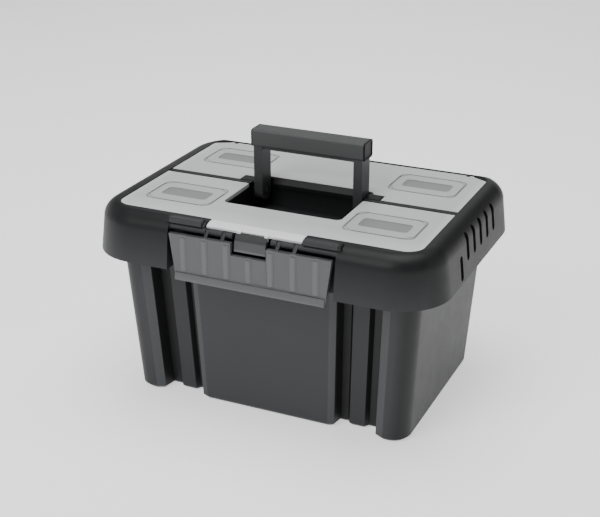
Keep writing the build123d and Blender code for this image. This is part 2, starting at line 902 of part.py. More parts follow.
def catch_wings():
    """Ends of the tab, which hide the cover's knuckles."""
    room = catch_barrel_radius + fit_gap
    outside = room + catch_hood
    hood = (catch_y - catch_hood_reach, catch_z + catch_hood_rise)
    profile = [(catch_y, catch_z), hood, (catch_y - outside, catch_z)]
    profile += tab_points() + [(catch_y, catch_z - outside)]
    reach = catch_half + overrun
    return along_x(profile, -catch_half, catch_half) - rod(room, -reach, reach, catch_y, catch_z)


def make_front_catch():
    body = catch_wings() + catch_middle()
    return body - rod(catch_pin_radius + running_gap, -catch_half, catch_half, catch_y, catch_z)


def make_catch_pin():
    _, outer = catch_knuckle_range()
    return pieces(rod(catch_pin_radius, -outer, outer, catch_y, catch_z))


# Trays and dividers

def slot_ribs(x, y0, y1):
    """Four small ribs on a tray's walls that hold one divider at x."""
    ribs = Part()
    offset_x = divider_thickness / 2 + slot_gap
    floor = ledge_top + tray_floor / 2
    for start in (x + offset_x, x - offset_x - slot_rib):
        ribs += block(start, start + slot_rib, y0 - tray_wall / 2, y0 + slot_rib_reach, floor, divider_top)
        ribs += block(start, start + slot_rib, y1 - slot_rib_reach, y1 + tray_wall / 2, floor, divider_top)
    return ribs


def tray(plan):
    """Open tray with an even wall and floor."""
    space = offset(plan, -tray_wall, kind=Kind.INTERSECTION)
    return plate(plan, ledge_top, tray_top) - plate(space, ledge_top + tray_floor, tray_top + overrun)


def front_tray_span():
    """Inside faces of the front tray at its dividers, front and rear."""
    return -window_depth / 2 + tray_gap + tray_wall, -spine_width / 2 - tray_gap - tray_wall


def rear_tray_span():
    """Inside faces of the rear tray at its dividers, front and rear."""
    front = well_rear + well_wall + tray_gap + tray_wall
    return front, window_depth / 2 - tray_gap - tray_wall


def rear_divider_places():
    return [rear_divider_offset, rear_divider_offset + rear_divider_pitch]


def make_front_tray():
    plan = half_window(tray_gap, -window_depth / 2, -spine_width / 2 - tray_gap)
    plan -= well_notch(tray_gap)
    y0, y1 = front_tray_span()
    return tray(plan) + both_sides(slot_ribs(front_divider_offset, y0, y1))


def make_rear_tray():
    plan = half_window(tray_gap, spine_width / 2 + tray_gap, window_depth / 2)
    front_edge = well_rear + well_wall + tray_gap
    length = 2 * (housing_outer + tray_gap)
    plan -= Pos(0, front_edge / 2) * Rectangle(length, front_edge)
    plan -= rear_corners(tray_gap)
    y0, y1 = rear_tray_span()
    ribs = Part()
    inner, outer = rear_divider_places()
    ribs += slot_ribs(inner, y0, y1)
    outer_front = spine_width / 2 + tray_gap + tray_wall
    ribs += slot_ribs(outer, outer_front, y1)
    return tray(plan) + both_sides(ribs)


def divider(x, y0, y1):
    """Thin plate across a tray."""
    half = divider_thickness / 2
    low = ledge_top + tray_floor + slot_gap
    return block(x - half, x + half, y0 + slot_gap, y1 - slot_gap, low, divider_top)


def make_front_dividers():
    y0, y1 = front_tray_span()
    plate_right = divider(front_divider_offset, y0, y1)
    return pieces(plate_right, mirror(plate_right, about=Plane.YZ))


def make_rear_dividers():
    y0, y1 = rear_tray_span()
    inner, outer = rear_divider_places()
    inner_plate = divider(inner, y0, y1)
    outer_plate = divider(outer, spine_width / 2 + tray_gap + tray_wall, y1)
    plates = [inner_plate, outer_plate]
    return pieces(*plates, *[mirror(one, about=Plane.YZ) for one in plates])


# Handle

def grip_section(inset):
    """Rounded section of the grip, across its length."""
    shape = RectangleRounded(2 * (grip_half_depth - inset), grip_height - 2 * inset, grip_round - inset)
    return Pos(pivot_y, grip_middle) * shape


def core_half_depth():
    return grip_half_depth - core_margin


def core_section(gap, bottom):
    """Section of the bar inside the grip, from bottom up."""
    top = grip_bottom + grip_height - core_margin + gap
    shape = Rectangle(2 * (core_half_depth() + gap), top - bottom)
    return Pos(pivot_y, (bottom + top) / 2) * shape


def handle_crossbar():
    """Underside of the bar between the legs, a little lower than the grip."""
    half = (leg_inner + leg_outer) / 2
    y0 = pivot_y - core_half_depth()
    y1 = pivot_y + core_half_depth()
    return block(-half, half, y0, y1, grip_bottom - crossbar_drop, grip_bottom + overrun)


def handle_leg():
    """Right-hand leg, round at its foot."""
    top = grip_bottom + leg_top_rise
    leg = block(leg_inner, leg_outer, pivot_y - leg_half_depth, pivot_y + leg_half_depth, pivot_z, top)
    return leg + rod(leg_half_depth, leg_inner, leg_outer, pivot_y, pivot_z)


def cap_start():
    return grip_half_length - cap_thickness


def make_handle_frame():
    core = extrude(Plane.YZ.offset(-cap_start()) * core_section(0, grip_bottom), 2 * cap_start())
    body = core + handle_crossbar() + both_sides(handle_leg())
    hole_start = cap_start() - cap_peg_length - fit_gap
    hole = rod(cap_peg_radius + fixed_gap, hole_start, cap_start() + overrun, pivot_y, grip_middle)
    body -= both_sides(hole)
    reach = leg_outer + overrun
    return body - rod(handle_pin_radius + running_gap, -reach, reach, pivot_y, pivot_z)


def make_handle_grip():
    """Sleeve pressed over the core bar, open below, with room for the legs."""
    half = cap_start()
    body = extrude(Plane.YZ.offset(-half) * grip_section(0), 2 * half)
    low = grip_bottom - overrun
    body -= extrude(Plane.YZ.offset(-half - overrun) * core_section(fixed_gap, low), 2 * (half + overrun))
    y0 = pivot_y - leg_half_depth - fixed_gap
    y1 = pivot_y + leg_half_depth + fixed_gap
    top = grip_bottom + leg_top_rise + fixed_gap
    slot = block(leg_inner - fixed_gap, leg_outer + fixed_gap, y0, y1, low, top)
    return body - both_sides(slot)


def make_grip_end_caps():
    """Plugs that close the ends of the sleeve, each with a sunken outer face."""
    cap = extrude(Plane.YZ.offset(cap_start()) * grip_section(0), cap_thickness)
    outer_face = cap.faces().sort_by(Axis.X)[-1]
    cap = fillet(outer_face.edges(), cap_thickness / 2)
    recess_plane = Plane.YZ.offset(grip_half_length - cap_recess)
    cap -= extrude(recess_plane * grip_section(cap_rim), cap_recess + overrun)
    peg_start = cap_start() - cap_peg_length
    cap += rod(cap_peg_radius, peg_start, cap_start() + cap_thickness / 2, pivot_y, grip_middle)
    return pieces(cap, mirror(cap, about=Plane.YZ))


def make_handle_pins():
    pin = rod(handle_pin_radius, leg_inner, housing_outer - fit_gap, pivot_y, pivot_z)
    return pieces(pin, mirror(pin, about=Plane.YZ))


# Latch

def latch_panel_outline():
    """Front view of the latch: wider at the top, with room for the catch."""
    right = [
        (latch_notch_half, latch_notch_bottom),
        (latch_notch_half, latch_top),
        (latch_top_half, latch_top),
        (latch_bottom_half, latch_bottom),
    ]
    left = [(-x, z) for x, z in reversed(right)]
    return flat(right + left)


def latch_ribs():
    """Soft upright ribs across the front."""
    ribs = Part()
    for number in range(2 * latch_rib_pairs + 1):
        x = (number - latch_rib_pairs) * latch_rib_pitch
        inside = abs(x) < latch_notch_half
        top = latch_notch_bottom - latch_rib_bevel if inside else latch_rib_top
        half = latch_rib_width / 2
        section = [
            (x - half, -latch_face + fixed_gap),
            (x - half + latch_rib_bevel, -latch_face - latch_rib_rise),
            (x + half - latch_rib_bevel, -latch_face - latch_rib_rise),
            (x + half, -latch_face + fixed_gap),
        ]
        ribs += plate(flat(section), latch_rib_bottom, top)
    return ribs


def latch_rim_frame():
    """Edge turned back all round the panel."""
    outline = latch_panel_outline()
    ring = outline - offset(outline, -latch_rim, kind=Kind.INTERSECTION)
    return extrude(Plane.XZ.offset(latch_back) * ring, latch_face - latch_back)


def latch_arm(x):
    """Narrow arm at x from the panel's top to its barrel."""
    lower = latch_z - latch_arm_drop
    plate_back = -latch_face + latch_plate
    profile = [
        (latch_y, latch_z + latch_barrel_radius),
        (plate_back - latch_plate / 2, latch_top),
        (plate_back - latch_plate / 2, lower),
        (plate_back, lower),
        (latch_y, latch_z - latch_barrel_radius),
    ]
    start = x - latch_arm_width / 2
    end = x + latch_arm_width / 2
    return along_x(profile, start, end) + rod(latch_barrel_radius, start, end, latch_y, latch_z)


def latch_band():
    """Proud finger edge along the bottom."""
    half = latch_bottom_half
    front = -latch_face - latch_band_rise
    profile = [
        (-latch_back, latch_bottom),
        (front - latch_band_rise, latch_bottom),
        (front - latch_band_rise, latch_bottom + latch_hook_height),
        (front, latch_band_top),
        (-latch_back, latch_band_top),
    ]
    return along_x(profile, -half, half)


def make_front_latch():
    panel = extrude(Plane.XZ.offset(latch_face - latch_plate) * latch_panel_outline(), latch_plate)
    body = panel + latch_ribs() + latch_rim_frame() + latch_band()
    for x in latch_arm_places():
        body += both_sides(latch_arm(x))
    hook_half = keeper_half - fit_gap
    body += block(-hook_half, hook_half, -latch_back - overrun, -latch_hook_front,
                  latch_bottom, latch_bottom + latch_hook_height)
    reach = bracket_inner
    return body - rod(latch_pin_radius + running_gap, -reach, reach, latch_y, latch_z)


def make_latch_pins():
    pin = rod(latch_pin_radius, hinge_bar_inner, bracket_inner + latch_pin_bury, latch_y, latch_z)
    return pieces(pin, mirror(pin, about=Plane.YZ))


os.makedirs("parts", exist_ok=True)

save(make_base_bin(), "base_bin")
save(make_lid_hinge_pins(), "lid_hinge_pins")
save(make_lid_shell(), "lid_shell")
save(make_pivot_caps(), "handle_pivot_caps")
save(make_front_cover(), "front_cover")
save(make_rear_cover(), "rear_cover")
save(make_front_catch(), "front_catch")
save(make_catch_pin(), "catch_pin")
save(make_front_tray(), "front_organizer_tray")
save(make_rear_tray(), "rear_organizer_tray")
save(make_front_dividers(), "front_dividers")
save(make_rear_dividers(), "rear_dividers")
save(make_handle_frame(), "handle_frame")
save(make_handle_grip(), "handle_grip")
save(make_grip_end_caps(), "grip_end_caps")
save(make_handle_pins(), "handle_pivot_pins")
save(make_front_latch(), "front_latch")
save(make_latch_pins(), "latch_pins")
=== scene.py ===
import json
import math

import bpy
from mathutils import Matrix, Vector


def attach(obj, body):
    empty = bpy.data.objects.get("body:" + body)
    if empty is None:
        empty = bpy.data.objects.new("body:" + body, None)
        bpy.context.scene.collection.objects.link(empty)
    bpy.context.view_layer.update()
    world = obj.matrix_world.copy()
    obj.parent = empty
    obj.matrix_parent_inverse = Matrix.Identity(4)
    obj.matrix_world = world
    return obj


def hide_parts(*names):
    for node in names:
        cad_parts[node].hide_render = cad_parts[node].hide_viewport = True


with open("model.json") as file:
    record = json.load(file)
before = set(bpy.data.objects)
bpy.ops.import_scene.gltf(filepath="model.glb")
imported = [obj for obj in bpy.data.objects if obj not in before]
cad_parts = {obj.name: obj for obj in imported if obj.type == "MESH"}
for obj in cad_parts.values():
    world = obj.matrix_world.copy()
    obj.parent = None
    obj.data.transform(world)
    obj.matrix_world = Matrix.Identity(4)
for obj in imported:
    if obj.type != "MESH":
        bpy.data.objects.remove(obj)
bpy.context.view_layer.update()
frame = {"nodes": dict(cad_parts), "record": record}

# Portable storage box. Lengths are in metres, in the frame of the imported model.
mm = 0.001

# Camera: the photograph's own view, as angles round the box, a distance and an aim point
view_azimuth = math.radians(24.337)
view_elevation = math.radians(23.21)
view_distance = 1.6112
aim_right = -0.0089
aim_up = 0.1433
lens_length = 74.86
sensor_width = 36.0
view_reach = 56.0

# Studio: each softbox has a place, a width and a power in watts, and faces the box's middle
floor_size = 14.0
floor_colour = (0.90, 0.90, 0.905)
floor_glow = 0.90
floor_tone_scale = 3.0
floor_roughness = (0.55, 0.65)
world_colour = (1.0, 1.0, 1.0)
world_strength = 1.1
world_upper = 0.05
world_fade = 0.25
light_target = (0, 0, 0.15)
softboxes = {
    "top_light": ((0.0, 0.2, 2.6), 2.0, 58),
    "front_light": ((-0.6, -1.9, 1.9), 1.4, 34),
    "left_light": ((-2.4, 0.3, 1.0), 1.8, 5),
    "right_light": ((2.3, 0.9, 1.0), 1.6, 6),
    "rear_light": ((-0.8, 2.3, 1.2), 1.8, 6),
}

# Pattern, painted shade and painted highlights on the covers' right half, which their left half mirrors
ring_middle_x = 127.5 * mm
ring_middles_y = (-69.0 * mm, 76.0 * mm)
ring_half_length = 43.5 * mm
ring_half_depth = 31.0 * mm
ring_corner = 9.0 * mm
ring_line = 2.6 * mm
# Painted shade in the ring groove
ring_painted_shade = 0.45
pad_half_length = 30.0 * mm
pad_half_depth = 12.5 * mm
pad_corner = 5.0 * mm
pad_tone = 0.50
ring_inside_tone = 0.88
pad_rib_pitch = 4.2 * mm
pad_rib_height = 0.9
patch_edge = 0.5 * mm
# Painted highlights on the front lip, along the covers' front edge and at their ends
lip_middle_y = -143.0 * mm
lip_half_length = 59.0 * mm
lip_half_depth = 9.0 * mm
lip_painted_highlight = 1.35
cover_front = -134.0 * mm
cover_front_fade = 34.0 * mm
cover_front_painted_highlight = 1.22
cover_end = 189.0 * mm
cover_end_fade = 9.0 * mm
cover_end_painted_highlight = 1.2

# Painted highlights along the latch's ribs and on its lower band, and painted shade on its arms above
# the panel
latch_line_pitch = 27.5 * mm
latch_line_half = 3.6 * mm
latch_line_painted_highlight = 1.30
latch_line_reach = 92.0 * mm
latch_line_low = 190.0 * mm
latch_band_top = 187.0 * mm
latch_band_painted_highlight = 1.15
latch_panel_top = 233.5 * mm
latch_arm_painted_shade = 0.20

# Painted shade and highlights across the bin's fluted front, by the share of its half length, and
# painted shade on its sides
bin_height = 200.0 * mm
bin_half_lengths = (178.0 * mm, 190.8 * mm)
bin_half_depths = (123.0 * mm, 133.7 * mm)
bin_front_band = 29.0 * mm
bin_front_fade = 6.0 * mm
bin_side_start = (0.93, 0.97)
bin_side_painted_shade = 0.58
bin_painted_shade_and_highlights = (
    (0.0, 1.0), (0.448, 1.0), (0.450, 1.6), (0.490, 1.6), (0.493, 0.25), (0.577, 0.25), (0.580, 0.78),
    (0.684, 0.78), (0.687, 0.25), (0.785, 0.25), (0.788, 1.7), (0.842, 1.7), (0.845, 0.95), (0.88, 0.85),
    (0.94, 0.35), (1.0, 0.35),
)
tone_scale = 2.0

# Painted light and shade on the skirt: lighter toward its bottom edge, darker toward its top and at its
# ends
skirt_low = 190.0 * mm
skirt_high = 229.0 * mm
skirt_low_painted_light = 1.7
skirt_high_painted_shade = 0.60
skirt_end = 217.0 * mm
skirt_end_fade = 14.0 * mm
skirt_end_painted_shade = 0.30

# Painted highlight on the hinge bar and its blocks, over the latch, and the catch's painted shade on its
# top and painted highlight on its lower edge
bar_middle_y = -152.5 * mm
bar_half_length = 104.0 * mm
bar_half_depth = 6.5 * mm
bar_low = 233.0 * mm
bar_painted_highlight = 3.2
catch_top = 235.5 * mm
catch_top_painted_shade = 0.45
catch_edge = 225.5 * mm
catch_edge_painted_highlight = 1.6

# Moulded plastic: flow and cloud noise in the colour, pebbled grain, and rub marks in the gloss
flow_scale = 7.0
flow_share = 0.6
cloud_scale = 45.0
cloud_share = 0.4
noise_middle = 0.5
shade_swing = 2.0
pebble_smoothness = 0.6
fine_grain_ratio = 2.3
fine_grain_share = 0.35
grain_depth = 0.2 * mm
rub_stretch = (1.0, 7.0, 16.0)
rub_turn = (0.3, 0.5, 0.2)
rub_scale = 28.0
rub_span = (0.58, 0.74)
cloud_roughness = 0.12

# Ground steel: fine lines round the rod
steel_colour = (0.30, 0.30, 0.31)
steel_stretch = (60.0, 1.0, 1.0)
steel_line_scale = 90.0
steel_line_span = (0.3, 0.7)
steel_roughness = (0.34, 0.55)

# Softened edges of each moulding: node, body, edge width
merge_distance = 0.000004
edge_segments = 2
edge_angle = math.radians(28.0)
smooth_angle = math.radians(35.0)
mouldings = {
    "base_bin": ("bin", 1.1 * mm),
    "lid_shell": ("lid", 0.4 * mm),
    "front_cover": ("front_cover", 0.45 * mm),
    "rear_cover": ("rear_cover", 0.45 * mm),
    "front_catch": ("front_catch", 0.5 * mm),
    "front_latch": ("front_latch", 0.4 * mm),
    "handle_frame": ("handle", 1.2 * mm),
    "handle_grip": ("handle", 0.6 * mm),
    "handle_pivot_caps": ("lid", 0.6 * mm),
}


def make_active(piece):
    bpy.ops.object.select_all(action="DESELECT")
    piece.select_set(True)
    bpy.context.view_layer.objects.active = piece


# Camera and studio

def place_camera():
    """Camera at the photograph's viewing angle."""
    right = Vector((math.cos(view_azimuth), math.sin(view_azimuth), 0))
    flat = math.cos(view_elevation)
    rise = math.sin(view_elevation)
    back = Vector((math.sin(view_azimuth) * flat, -math.cos(view_azimuth) * flat, rise))
    up = back.cross(right)
    eye = right * aim_right + up * aim_up + back * view_distance
    bpy.ops.object.camera_add()
    camera = bpy.context.object
    camera.matrix_world = Matrix((
        (right.x, up.x, back.x, eye.x),
        (right.y, up.y, back.y, eye.y),
        (right.z, up.z, back.z, eye.z),
        (0, 0, 0, 1),
    ))
    camera.data.sensor_width = sensor_width
    camera.data.lens = lens_length
    camera.data.clip_end = view_reach
    bpy.context.scene.camera = camera


def add_softbox(name, place, size, power):
    """Square area light that faces the middle of the box."""
    bpy.ops.object.light_add(type="AREA", location=place)
    light = bpy.context.object
    light.name = name
    light.data.shape = "SQUARE"
    light.data.size = size
    light.data.energy = power
    direction = Vector(light_target) - Vector(place)
    light.rotation_euler = direction.to_track_quat("-Z", "Y").to_euler()


def light_studio():
    for name, (place, size, power) in softboxes.items():
        add_softbox(name, place, size, power)
    world = bpy.data.worlds.new("studio")
    world.use_nodes = True
    tree = world.node_tree
    background = tree.nodes["Background"]
    background.inputs["Color"].default_value = (*world_colour, 1)
    rise = axis_of(tree, tree.nodes.new("ShaderNodeTexCoord").outputs["Generated"], "Z")
    strength = spread_of(tree, rise, 0.0, world_fade, world_strength, world_upper)
    tree.links.new(strength, background.inputs["Strength"])
    bpy.context.scene.world = world


def add_floor(material):
    bpy.ops.mesh.primitive_plane_add(size=floor_size, location=(0, 0, 0))
    floor = bpy.context.object
    floor.name = "floor"
    floor.data.materials.append(material)


# Shared surface effects

def new_group(name, inputs, outputs):
    """Empty shader node group with named sockets."""
    group = bpy.data.node_groups.new(name, "ShaderNodeTree")
    for label, kind, value in inputs:
        socket = group.interface.new_socket(label, in_out="INPUT", socket_type=kind)
        if value is not None:
            socket.default_value = value
    for label, kind in outputs:
        group.interface.new_socket(label, in_out="OUTPUT", socket_type=kind)
    entry = group.nodes.new("NodeGroupInput")
    leave = group.nodes.new("NodeGroupOutput")
    return group, entry, leave


def add_math(tree, operation, first, second):
    """Math node on two values, each a socket or a number."""
    node = tree.nodes.new("ShaderNodeMath")
    node.operation = operation
    for slot_number, value in enumerate((first, second)):
        if isinstance(value, bpy.types.NodeSocket):
            tree.links.new(value, node.inputs[slot_number])
        else:
            node.inputs[slot_number].default_value = value
    return node.outputs[0]


def product(tree, first, *others):
    """Product of two or more values."""
    for value in others:
        first = add_math(tree, "MULTIPLY", first, value)
    return first


def size_of(tree, value):
    """Value without its sign."""
    return add_math(tree, "ABSOLUTE", value, 0.0)


def vector_math(tree, operation, first, second=None):
    """Vector math node on one or two vectors, the second a socket or numbers."""
    node = tree.nodes.new("ShaderNodeVectorMath")
    node.operation = operation
    tree.links.new(first, node.inputs[0])
    if isinstance(second, bpy.types.NodeSocket):
        tree.links.new(second, node.inputs[1])
    elif second is not None:
        node.inputs[1].default_value = second
    return node.outputs["Vector"]


def scaled(tree, colour, gain):
    """Colour made lighter or darker by a gain."""
    node = tree.nodes.new("ShaderNodeVectorMath")
    node.operation = "SCALE"
    tree.links.new(colour, node.inputs[0])
    tree.links.new(gain, node.inputs["Scale"])
    return node.outputs["Vector"]


def add_noise(tree, vector, scale, detail=2.0, roughness=0.5):
    node = tree.nodes.new("ShaderNodeTexNoise")
    node.inputs["Detail"].default_value = detail
    node.inputs["Roughness"].default_value = roughness
    tree.links.new(vector, node.inputs["Vector"])
    if isinstance(scale, bpy.types.NodeSocket):
        tree.links.new(scale, node.inputs["Scale"])
    else:
        node.inputs["Scale"].default_value = scale
    return node.outputs["Fac"]


def spread_of(tree, value, low, high, out_low, out_high):
    """Value moved from one span to another, and held inside it."""
    node = tree.nodes.new("ShaderNodeMapRange")
    tree.links.new(value, node.inputs["Value"])
    node.inputs["From Min"].default_value = low
    node.inputs["From Max"].default_value = high
    node.inputs["To Min"].default_value = out_low
    node.inputs["To Max"].default_value = out_high
    return node.outputs["Result"]


def toned(tree, mask, tone):
    """Gain of 1 outside a mask and of the tone inside it."""
    return spread_of(tree, mask, 0.0, 1.0, 1.0, tone)


def step_at(tree, value, place, below, above):
    """Step from one value to another, as soft as a patch's edge."""
    return spread_of(tree, value, place - patch_edge, place + patch_edge, below, above)


def make_moulded_group():
    """Flow shading in the colour, a fine pebbled grain, and faint rub marks in the gloss."""
    group, entry, leave = new_group(
        "moulded_plastic",
        [
            ("Vector", "NodeSocketVector", None),
            ("Color", "NodeSocketColor", (0.1, 0.1, 0.1, 1)),
            ("Shade", "NodeSocketFloat", 0.1),
            ("Roughness", "NodeSocketFloat", 0.5),
            ("Grain Scale", "NodeSocketFloat", 900.0),
            ("Rub", "NodeSocketFloat", 0.1),
        ],
        [("Color", "NodeSocketColor"), ("Roughness", "NodeSocketFloat"), ("Height", "NodeSocketFloat")],
    )
    vector = entry.outputs["Vector"]
    flow = add_noise(group, vector, flow_scale, detail=3.0)
    cloud = add_noise(group, vector, cloud_scale, detail=4.0, roughness=0.6)
    mixed = add_math(group, "ADD", product(group, flow, flow_share), product(group, cloud, cloud_share))
    swing = add_math(group, "SUBTRACT", mixed, noise_middle)
    gain = add_math(group, "ADD", product(group, swing, entry.outputs["Shade"], shade_swing), 1.0)
    group.links.new(scaled(group, entry.outputs["Color"], gain), leave.inputs["Color"])

    pebble = group.nodes.new("ShaderNodeTexVoronoi")
    pebble.feature = "SMOOTH_F1"
    pebble.inputs["Smoothness"].default_value = pebble_smoothness
    group.links.new(vector, pebble.inputs["Vector"])
    group.links.new(entry.outputs["Grain Scale"], pebble.inputs["Scale"])
    fine = add_noise(group, vector, product(group, entry.outputs["Grain Scale"], fine_grain_ratio))
    height = add_math(group, "ADD", pebble.outputs["Distance"], product(group, fine, fine_grain_share))
    group.links.new(height, leave.inputs["Height"])

    stretch = group.nodes.new("ShaderNodeMapping")
    stretch.inputs["Scale"].default_value = rub_stretch
    stretch.inputs["Rotation"].default_value = rub_turn
    group.links.new(vector, stretch.inputs["Vector"])
    streak = add_noise(group, stretch.outputs["Vector"], rub_scale, detail=5.0, roughness=0.7)
    mark = spread_of(group, streak, *rub_span, 0.0, 1.0)
    rubbed = product(group, mark, entry.outputs["Rub"])
    uneven = product(group, add_math(group, "SUBTRACT", cloud, noise_middle), cloud_roughness)
    rough = add_math(group, "ADD", entry.outputs["Roughness"], uneven)
    rough = add_math(group, "SUBTRACT", rough, rubbed)
    group.links.new(rough, leave.inputs["Roughness"])
    return group


def make_patch_group():
    """Mask of a rounded rectangle in plan, the same on the left and the right half."""
    group, entry, leave = new_group(
        "patch",
        [
            ("Vector", "NodeSocketVector", None),
            ("Middle", "NodeSocketVector", (0, 0, 0)),
            ("Half Size", "NodeSocketVector", (0.01, 0.01, 0)),
            ("Corner", "NodeSocketFloat", 0.002),
        ],
        [("Mask", "NodeSocketFloat")],
    )
    split = group.nodes.new("ShaderNodeSeparateXYZ")
    group.links.new(entry.outputs["Vector"], split.inputs[0])
    folded = group.nodes.new("ShaderNodeCombineXYZ")
    group.links.new(size_of(group, split.outputs["X"]), folded.inputs["X"])
    group.links.new(split.outputs["Y"], folded.inputs["Y"])
    offset = vector_math(group, "SUBTRACT", folded.outputs[0], entry.outputs["Middle"])
    offset = vector_math(group, "ABSOLUTE", offset)
    away = vector_math(group, "SUBTRACT", offset, entry.outputs["Half Size"])
    corner = group.nodes.new("ShaderNodeCombineXYZ")
    group.links.new(entry.outputs["Corner"], corner.inputs["X"])
    group.links.new(entry.outputs["Corner"], corner.inputs["Y"])
    away = vector_math(group, "ADD", away, corner.outputs[0])
    outside = vector_math(group, "MAXIMUM", away, (0, 0, 0))
    measure = group.nodes.new("ShaderNodeVectorMath")
    measure.operation = "LENGTH"
    group.links.new(outside, measure.inputs[0])
    distance = add_math(group, "SUBTRACT", measure.outputs["Value"], entry.outputs["Corner"])
    mask = spread_of(group, distance, -patch_edge, patch_edge, 1.0, 0.0)
    group.links.new(mask, leave.inputs["Mask"])
    return group


moulded_group = make_moulded_group()
patch_group = make_patch_group()


def new_material(name):
    material = bpy.data.materials.new(name)
    material.use_nodes = True
    tree = material.node_tree
    shader = tree.nodes["Principled BSDF"]
    return material, tree, shader


def object_vector(tree):
    return tree.nodes.new("ShaderNodeTexCoord").outputs["Object"]


def patch(tree, vector, middle, half_size, corner):
    """Mask of one rounded rectangle and its mirror image."""
    effect = tree.nodes.new("ShaderNodeGroup")
    effect.node_tree = patch_group
    tree.links.new(vector, effect.inputs["Vector"])
    effect.inputs["Middle"].default_value = (*middle, 0)
    effect.inputs["Half Size"].default_value = (*half_size, 0)
    effect.inputs["Corner"].default_value = corner
    return effect.outputs["Mask"]


def flattened(tree, vector):
    """The vector without its height."""
    return vector_math(tree, "MULTIPLY", vector, (1, 1, 0))


def axis_of(tree, vector, axis):
    split = tree.nodes.new("ShaderNodeSeparateXYZ")
    tree.links.new(vector, split.inputs[0])
    return split.outputs[axis]


def cover_pattern_and_painted_light(tree, vector, colour, height):
    """Painted shade in the ring grooves, ribbed pads, and painted highlights on the front lip, the front
    band and the ends.
    """
    vector = flattened(tree, vector)
    along = axis_of(tree, vector, "Y")
    lip_highlight = patch(tree, vector, (0, lip_middle_y), (lip_half_length, lip_half_depth), pad_corner)
    front = spread_of(tree, along, cover_front, cover_front + cover_front_fade, cover_front_painted_highlight, 1.0)
    out = size_of(tree, axis_of(tree, vector, "X"))
    ends = spread_of(tree, out, cover_end - cover_end_fade, cover_end, 1.0, cover_end_painted_highlight)
    # Painted highlights on the lip, in a band along the front edge and at the ends
    gain = product(tree, toned(tree, lip_highlight, lip_painted_highlight), front, ends)
    pads = 0.0
    for middle_y in ring_middles_y:
        middle = (ring_middle_x, middle_y)
        outer = patch(tree, vector, middle, (ring_half_length, ring_half_depth), ring_corner)
        inner_half = (ring_half_length - ring_line, ring_half_depth - ring_line)
        inner = patch(tree, vector, middle, inner_half, ring_corner - ring_line)
        ring = add_math(tree, "SUBTRACT", outer, inner)
        pad = patch(tree, vector, middle, (pad_half_length, pad_half_depth), pad_corner)
        # Painted shade in the ring groove, and the darker tone inside the ring and on the pads
        gain = product(tree, gain, toned(tree, ring, ring_painted_shade), toned(tree, inner, ring_inside_tone),
                       toned(tree, pad, pad_tone))
        pads = add_math(tree, "ADD", pads, pad)
    turns = product(tree, along, 2 * math.pi / pad_rib_pitch)
    wave = product(tree, add_math(tree, "SINE", turns, 0.0), pads, pad_rib_height)
    height = add_math(tree, "ADD", height, wave)
    return scaled(tree, colour, gain), height


def latch_painted_light(tree, vector, colour, height):
    """Painted highlight along each rib and on the lower band, and painted shade on the arms above the
    panel.
    """
    across = axis_of(tree, vector, "X")
    to_line = add_math(tree, "PINGPONG", across, latch_line_pitch / 2)
    line = step_at(tree, to_line, latch_line_half, 1.0, 0.0)
    inside = step_at(tree, size_of(tree, across), latch_line_reach, 1.0, 0.0)
    rise = axis_of(tree, vector, "Z")
    start = step_at(tree, rise, latch_line_low, 0.0, 1.0)
    # Painted highlight along each rib and on the lower band, painted shade on the arms
    lines = toned(tree, product(tree, line, inside, start), latch_line_painted_highlight)
    band_highlight = step_at(tree, rise, latch_band_top, latch_band_painted_highlight, 1.0)
    above = step_at(tree, rise, latch_panel_top, 1.0, latch_arm_painted_shade)
    return scaled(tree, colour, product(tree, lines, band_highlight, above)), height


def height_blend(tree, vector, ends):
    """Size of the bin at a point's height, from its size at the foot and at the rim."""
    return spread_of(tree, axis_of(tree, vector, "Z"), 0.0, bin_height, *ends)


def ramp_grey(tone):
    """Grey of a tone, scaled down to fit a colour ramp."""
    level = tone / tone_scale
    return (level, level, level, 1)


def bin_painted_light(tree, vector, colour, height):
    """Painted shade in the grooves and at the corners, painted highlights on the bevels across the
    fluted front, and painted shade on the sides.
    """
    across = size_of(tree, axis_of(tree, vector, "X"))
    share = add_math(tree, "DIVIDE", across, height_blend(tree, vector, bin_half_lengths))
    # Painted shade in the grooves and at the corners, painted highlights on the bevels
    ramp = tree.nodes.new("ShaderNodeValToRGB")
    stops = ramp.color_ramp.elements
    for place, tone in bin_painted_shade_and_highlights[1:-1]:
        stops.new(place).color = ramp_grey(tone)
    for stop, (place, tone) in ((stops[0], bin_painted_shade_and_highlights[0]), (stops[len(stops) - 1], bin_painted_shade_and_highlights[-1])):
        stop.position = place
        stop.color = ramp_grey(tone)
    tree.links.new(share, ramp.inputs[0])
    half_depth = height_blend(tree, vector, bin_half_depths)
    behind_front = add_math(tree, "ADD", axis_of(tree, vector, "Y"), half_depth)
    front = spread_of(tree, behind_front, bin_front_band - bin_front_fade, bin_front_band, 1.0, 0.0)
    fold_painted_light = product(tree, ramp.outputs["Color"], tone_scale, front)
    # Painted shade on the sides
    side_painted_shade = spread_of(tree, share, *bin_side_start, 1.0, bin_side_painted_shade)
    rest = product(tree, side_painted_shade, add_math(tree, "SUBTRACT", 1.0, front))
    return scaled(tree, colour, add_math(tree, "ADD", fold_painted_light, rest)), height


